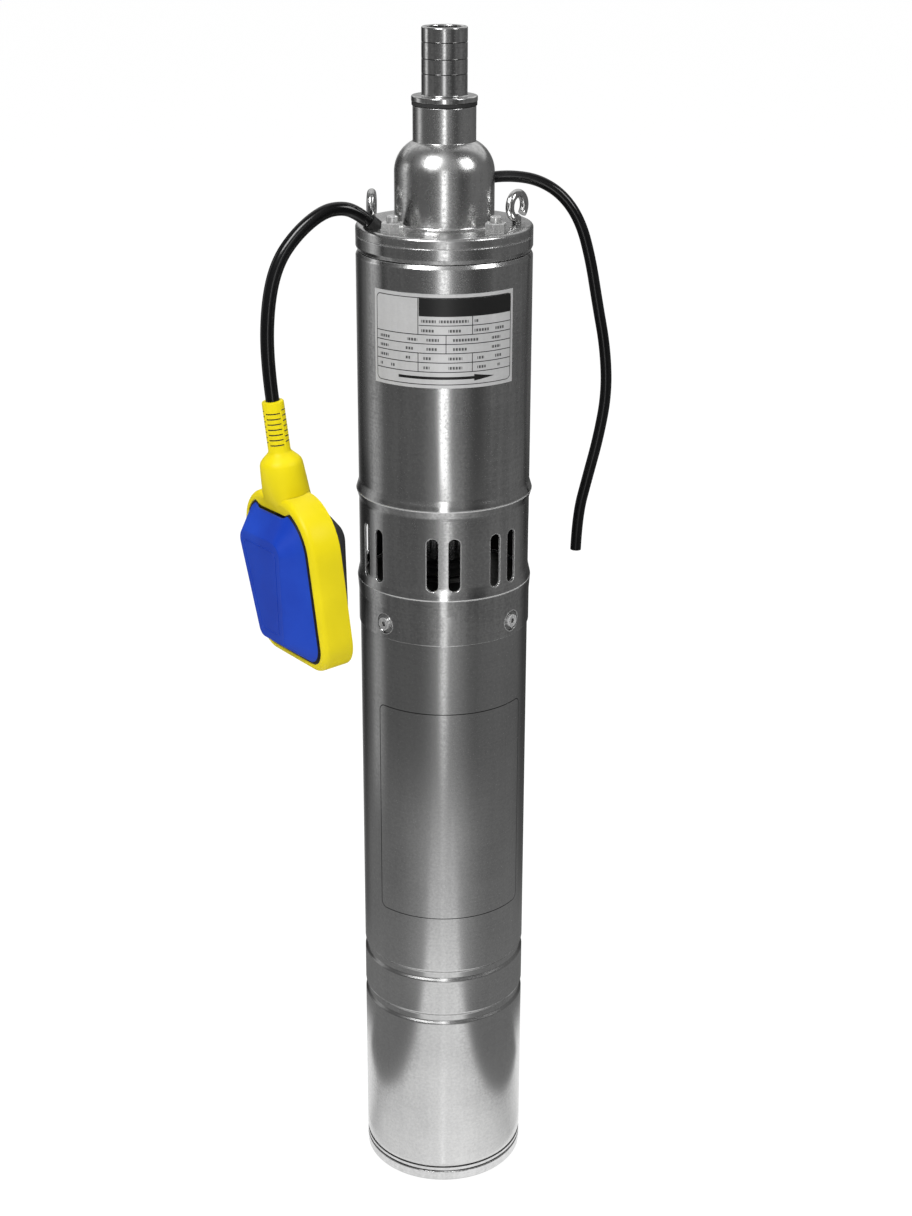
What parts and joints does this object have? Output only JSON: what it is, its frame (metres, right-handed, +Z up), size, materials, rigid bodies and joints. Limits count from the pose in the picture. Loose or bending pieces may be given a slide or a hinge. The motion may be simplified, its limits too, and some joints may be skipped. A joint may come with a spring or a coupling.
{
  "type": "borehole submersible pump",
  "caption": "Stainless borehole pump with slotted intake, screw rotor in a rubber stator, oil-filled motor below, hose tail, lifting eyes, power lead and float switch.",
  "frame": {"origin": "centre of the base, on the surface the pump stands on", "axes": "+Z up along the pump's axis to the hose tail, -Y to the front where the nameplate is"},
  "size_m": [0.2082, 0.1275, 0.6866],
  "materials": {
    "stainless_steel": "polished, faintly brushed round",
    "ground_steel": "ground",
    "polished_chrome": "polished",
    "cast_metal": "machined casting",
    "core_steel": "stacked sheet",
    "cast_aluminium": "cast",
    "copper": "varnished wire",
    "seal_ceramic": "lapped",
    "black_rubber": "moulded",
    "cable_rubber": "satin",
    "plate_foil": "satin foil",
    "yellow_plastic": "moulded",
    "blue_plastic": "moulded",
    "black_plastic": "moulded",
    "white_plastic": "moulded"
  },
  "bodies": {
    "pump_body": {"bottom_cap": "stainless_steel", "oil_plug": "ground_steel", "compensation_diaphragm": "black_rubber", "capacitor": "white_plastic", "capacitor_bracket": "black_plastic", "motor_shell": "stainless_steel", "shell_o_rings": "black_rubber", "lower_bearing_housing": "cast_metal", "lower_bearing_outer": "ground_steel", "stator_core": "core_steel", "stator_windings": "copper", "upper_bearing_housing": "cast_metal", "upper_bearing_outer": "ground_steel", "seal_seat": "seal_ceramic", "motor_collar": "stainless_steel", "collar_screws": "ground_steel", "intake_strainer": "stainless_steel", "joint_ring": "stainless_steel", "barrel": "stainless_steel", "nameplate": "plate_foil", "barrel_end_ring": "stainless_steel", "stator_tube": "stainless_steel", "rubber_stator": "black_rubber", "head_o_ring": "black_rubber", "discharge_head": "stainless_steel", "head_studs": "ground_steel", "head_nuts": "ground_steel", "lifting_eye_left": "stainless_steel", "lifting_eye_right": "stainless_steel", "tail_gasket": "black_rubber", "hose_tail": "stainless_steel", "float_gland": "black_rubber", "power_gland": "black_rubber", "float_cable": "cable_rubber", "power_cable": "cable_rubber"},
    "motor_rotor": {"motor_shaft": "ground_steel", "rotor_core": "core_steel", "rotor_end_rings": "cast_aluminium", "lower_bearing_inner": "ground_steel", "upper_bearing_inner": "ground_steel", "seal_ring": "black_plastic", "sand_guard": "black_rubber", "shaft_pin": "ground_steel", "shaft_sleeve": "ground_steel"},
    "lower_bearing_balls": {"lower_bearing_balls": "ground_steel"},
    "upper_bearing_balls": {"upper_bearing_balls": "ground_steel"},
    "thrust_ball": {"thrust_ball": "ground_steel"},
    "coupling_rod": {"coupling_rod": "ground_steel"},
    "screw_rotor": {"screw_rotor": "polished_chrome", "rotor_pin": "ground_steel", "rotor_sleeve": "ground_steel"},
    "float_switch": {"float_frame": "yellow_plastic", "float_front_shell": "blue_plastic", "float_rear_shell": "black_plastic", "switch_carrier": "white_plastic", "microswitch": "black_plastic"},
    "rolling_ball": {"rolling_ball": "ground_steel"},
    "switch_lever": {"switch_lever": "ground_steel"},
    "switch_button": {"switch_button": "white_plastic"}
  },
  "joints": [
    {"name": "motor_spin", "type": "hinge", "parent": "pump_body", "child": "motor_rotor", "pos_m": [0, 0, 0.246], "axis": [0, 0, 1], "continuous": true},
    {"name": "lower_balls_orbit", "type": "hinge", "parent": "pump_body", "child": "lower_bearing_balls", "pos_m": [0, 0, 0.1435], "axis": [0, 0, 1], "continuous": true},
    {"name": "upper_balls_orbit", "type": "hinge", "parent": "pump_body", "child": "upper_bearing_balls", "pos_m": [0, 0, 0.3415], "axis": [0, 0, 1], "continuous": true},
    {"name": "rotor_orbit", "type": "hinge", "parent": "pump_body", "child": "thrust_ball", "pos_m": [0, 0, 0.4433], "axis": [0, 0, 1], "continuous": true},
    {"name": "rotor_spin", "type": "hinge", "parent": "thrust_ball", "child": "screw_rotor", "pos_m": [0.002, 0, 0.4433], "axis": [0, 0, 1], "continuous": true},
    {"name": "coupling_spin", "type": "hinge", "parent": "thrust_ball", "child": "coupling_rod", "pos_m": [0, 0, 0.401], "axis": [0.0571, 0, 0.9984], "continuous": true},
    {"name": "float_swing", "type": "hinge", "parent": "pump_body", "child": "float_switch", "pos_m": [-0.03986, -0.01733, 0.58792], "axis": [-0.3987, 0.9171, 0], "range_deg": [0, 105], "deforming": ["float_cable"]},
    {"name": "ball_roll", "type": "slide", "parent": "float_switch", "child": "rolling_ball", "axis": [-0.1056, -0.0014, 0.9944], "range_m": [0, 0.0065]},
    {"name": "lever_tilt", "type": "hinge", "parent": "float_switch", "child": "switch_lever", "pos_m": [-0.06884, -0.05669, 0.38388], "axis": [-0.8381, -0.5381, -0.0898], "range_deg": [-17.2, 0]},
    {"name": "button_press", "type": "slide", "parent": "float_switch", "child": "switch_button", "axis": [-0.1056, -0.0014, 0.9944], "range_m": [0, 0.001]}
  ],
  "couplings": [
    {"joint": "lower_balls_orbit", "follows": "motor_spin", "ratio": 0.3812},
    {"joint": "upper_balls_orbit", "follows": "motor_spin", "ratio": 0.3812},
    {"joint": "rotor_orbit", "follows": "motor_spin", "ratio": -1},
    {"joint": "rotor_spin", "follows": "motor_spin", "ratio": 2},
    {"joint": "coupling_spin", "follows": "motor_spin", "ratio": 2},
    {"joint": "lever_tilt", "follows": "ball_roll", "rad_per_m": -46.157},
    {"joint": "button_press", "follows": "ball_roll", "ratio": 0.15385}
  ]
}
